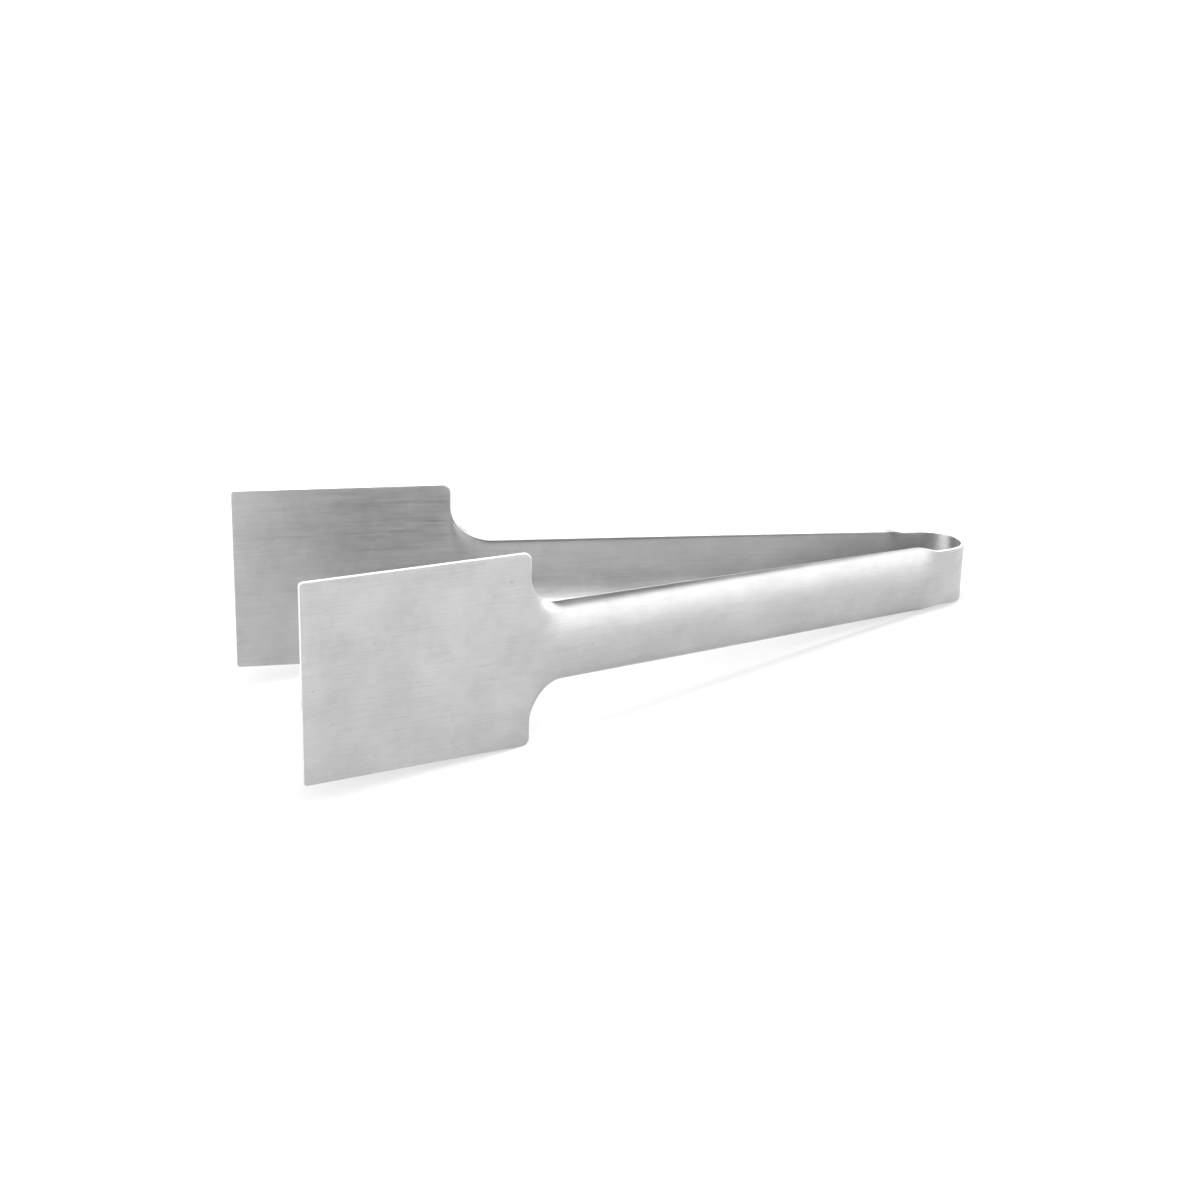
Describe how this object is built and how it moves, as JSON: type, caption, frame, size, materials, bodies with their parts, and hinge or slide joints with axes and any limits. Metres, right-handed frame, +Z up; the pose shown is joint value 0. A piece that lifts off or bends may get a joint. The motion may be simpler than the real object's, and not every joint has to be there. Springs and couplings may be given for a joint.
{
  "type": "serving tongs",
  "caption": "One-piece spring tongs of brushed steel sheet: a flat U-shaped bow, channel-section arms and flat rectangular gripping blades.",
  "frame": {"origin": "centre of the bounding box at the surface the tongs stand on", "axes": "+X towards the bow, -X towards the blade tips, +Y towards the right arm as held from the bow end, +Z up; the tongs rest with their centre plane sloping down 6.8 degrees towards the bow"},
  "size_m": [0.2428, 0.103, 0.0675],
  "materials": {
    "steel": "fine lengthwise brushed stainless steel with polished edges"
  },
  "bodies": {
    "bow": {"bow": "steel"},
    "left_side": {"left_leg": "steel", "left_heel": "steel", "left_arm": "steel", "left_shoulder": "steel", "left_blade": "steel"},
    "right_side": {"right_leg": "steel", "right_heel": "steel", "right_arm": "steel", "right_shoulder": "steel", "right_blade": "steel"}
  },
  "joints": [
    {"name": "left_squeeze", "type": "hinge", "parent": "bow", "child": "left_side", "pos_m": [0.11065, -0.01111, 0.01068], "axis": [-0.1179, 0, -0.993], "range_deg": [-3, 12.4], "stiffness_Nm_per_rad": 14, "deforming": ["bow"]},
    {"name": "right_squeeze", "type": "hinge", "parent": "bow", "child": "right_side", "pos_m": [0.11065, 0.01111, 0.01068], "axis": [0.1179, 0, 0.993], "range_deg": [-3, 12.4], "stiffness_Nm_per_rad": 14, "deforming": ["bow"]}
  ],
  "couplings": [
    {"joint": "right_squeeze", "follows": "left_squeeze", "ratio": 1}
  ]
}
